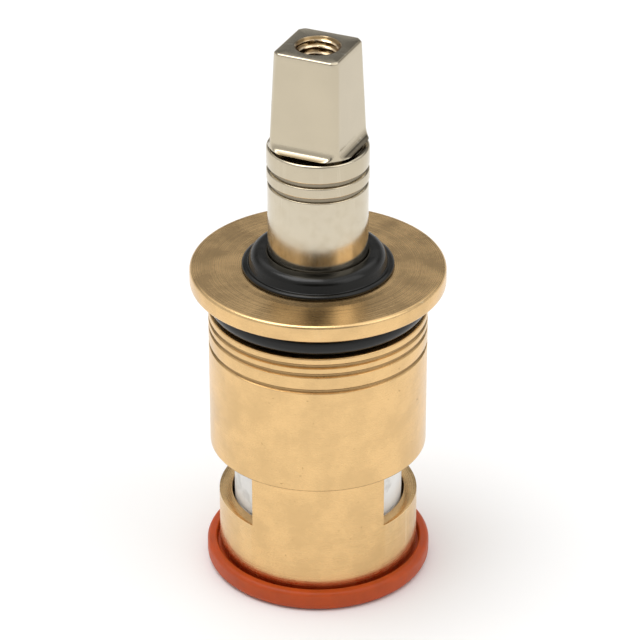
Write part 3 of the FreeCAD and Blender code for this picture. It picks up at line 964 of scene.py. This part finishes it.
class CARTRIDGE_OT_stage(Operator):
    """Set the floor, the soft lights and the camera"""

    bl_idname = "cartridge.stage"
    bl_label = "Stage"

    def execute(self, context):
        self.add_floor()
        self.light_world(context.scene)
        self.add_lamps()
        self.add_camera(context.scene)
        context.scene.view_settings.view_transform = "Standard"
        return {"FINISHED"}

    def add_floor(self):
        """Wide pale floor that keeps the shadow."""
        bpy.ops.object.select_all(action="DESELECT")
        bpy.ops.mesh.primitive_plane_add(size=4.0, location=(0, 0, 0))
        floor = bpy.context.object
        floor.name = "floor"
        material, _, shader = new_material("pale_floor")
        shader.inputs["Base Color"].default_value = (0.92, 0.92, 0.92, 1.0)
        shader.inputs["Roughness"].default_value = 0.7
        floor.data.materials.append(material)

    def light_world(self, scene):
        """Pale round the horizon, bright overhead, darker behind the object and round the camera."""
        world = bpy.data.worlds.new("studio")
        scene.world = world
        world.use_nodes = True
        nodes = Nodes(world.node_tree)
        output = nodes.add("ShaderNodeOutputWorld")
        direction = nodes.add("ShaderNodeTexCoord").outputs["Generated"]
        axes = nodes.add("ShaderNodeSeparateXYZ", Vector=direction)
        rise = axes.outputs["Z"]
        back = ((0.0, 0.85), (0.2, 0.6), (0.4, 0.2), (0.49, 0.14), (0.57, 0.6), (0.68, 1.3), (0.95, 1.4))
        around = ((0.0, 0.87), (0.3, 0.7), (0.6, 0.66), (0.8, 0.9), (0.95, 1.3))
        behind_object = nodes.ramp(axes.outputs["Y"], 0.35, 0.75)
        sides_tone = self.tone_by_height(nodes, rise, around)
        back_tone = self.tone_by_height(nodes, rise, back)
        tone = nodes.mix(behind_object, sides_tone, back_tone)
        facing_camera = nodes.ramp(axes.outputs["Y"], -0.66, -0.84)
        before_object = nodes.math("MULTIPLY", facing_camera, nodes.ramp(rise, 0.2, 0.4))
        tone = nodes.mix(before_object, tone, (0.05, 0.05, 0.05))
        studio = nodes.add("ShaderNodeBackground", Color=tone, Strength=1.0)
        nodes.tree.links.new(studio.outputs[0], output.inputs["Surface"])

    def tone_by_height(self, nodes, rise, stops):
        """Grey that follows the height of a direction, from pairs of height and tone."""
        ramp = nodes.add("ShaderNodeValToRGB", Fac=rise)
        points = ramp.color_ramp.elements
        points[0].position, points[1].position = stops[0][0], stops[-1][0]
        for height, tone in stops[1:-1]:
            points.new(height)
        for point, (height, tone) in zip(points, stops):
            point.color = (tone, tone, tone, 1)
        return ramp.outputs[0]

    def add_lamps(self):
        """Two large soft lamps."""
        self.lamp("key_lamp", (-0.14, -0.02, 0.52), 0.34, 1.0)
        self.lamp("fill_lamp", (0.34, -0.16, 0.38), 0.34, 0.34)

    def lamp(self, name, place, size, power):
        """Square soft lamp aimed at the middle of the object."""
        bpy.ops.object.light_add(type="AREA", location=place)
        lamp = bpy.context.object
        lamp.name = name
        lamp.data.size = size
        lamp.data.energy = power
        aim = Vector((0, 0, 0.03)) - Vector(place)
        lamp.rotation_euler = aim.to_track_quat("-Z", "Y").to_euler()

    def add_camera(self, scene):
        """Long lens, looking down at the object from the front."""
        target = Vector((0.22 * MM, 0, 30.73 * MM))
        distance = 364.66 * MM
        rise = math.radians(29.43)
        place = target + Vector((0, -math.cos(rise), math.sin(rise))) * distance
        bpy.ops.object.camera_add(location=place)
        camera = bpy.context.object
        camera.rotation_euler = (target - place).to_track_quat("-Z", "Y").to_euler()
        camera.data.lens = 182.95
        camera.data.sensor_width = 36.0
        scene.camera = camera


OPERATORS = (
    CARTRIDGE_OT_finishes,
    CARTRIDGE_OT_valve_body,
    CARTRIDGE_OT_spindle,
    CARTRIDGE_OT_rubber_rings,
    CARTRIDGE_OT_seat_gasket,
    CARTRIDGE_OT_inner_parts,
    CARTRIDGE_OT_stage,
)


class VIEW3D_PT_tap_cartridge(Panel):
    """Sidebar panel with the cartridge's sizes and pieces"""

    bl_label = "Tap Cartridge"
    bl_idname = "VIEW3D_PT_tap_cartridge"
    bl_space_type = "VIEW_3D"
    bl_region_type = "UI"
    bl_category = "Tap Cartridge"

    def draw(self, context):
        for settings in (
            context.scene.cartridge_body, context.scene.cartridge_spindle, context.scene.cartridge_finish
        ):
            box = self.layout.box()
            for key in settings.__annotations__:
                box.prop(settings, key)
        for operator in OPERATORS:
            self.layout.operator(operator.bl_idname)


CLASSES = (BodySizes, SpindleSizes, FinishColours, *OPERATORS, VIEW3D_PT_tap_cartridge)


def register():
    for item in CLASSES:
        bpy.utils.register_class(item)
    bpy.types.Scene.cartridge_body = PointerProperty(type=BodySizes)
    bpy.types.Scene.cartridge_spindle = PointerProperty(type=SpindleSizes)
    bpy.types.Scene.cartridge_finish = PointerProperty(type=FinishColours)


def unregister():
    del bpy.types.Scene.cartridge_finish
    del bpy.types.Scene.cartridge_spindle
    del bpy.types.Scene.cartridge_body
    for item in reversed(CLASSES):
        bpy.utils.unregister_class(item)


def main():
    register()
    bpy.ops.cartridge.finishes()
    bpy.ops.cartridge.valve_body()
    bpy.ops.cartridge.spindle()
    bpy.ops.cartridge.rubber_rings()
    bpy.ops.cartridge.seat_gasket()
    bpy.ops.cartridge.inner_parts()
    bpy.ops.cartridge.stage()


if __name__ == "__main__":
    main()
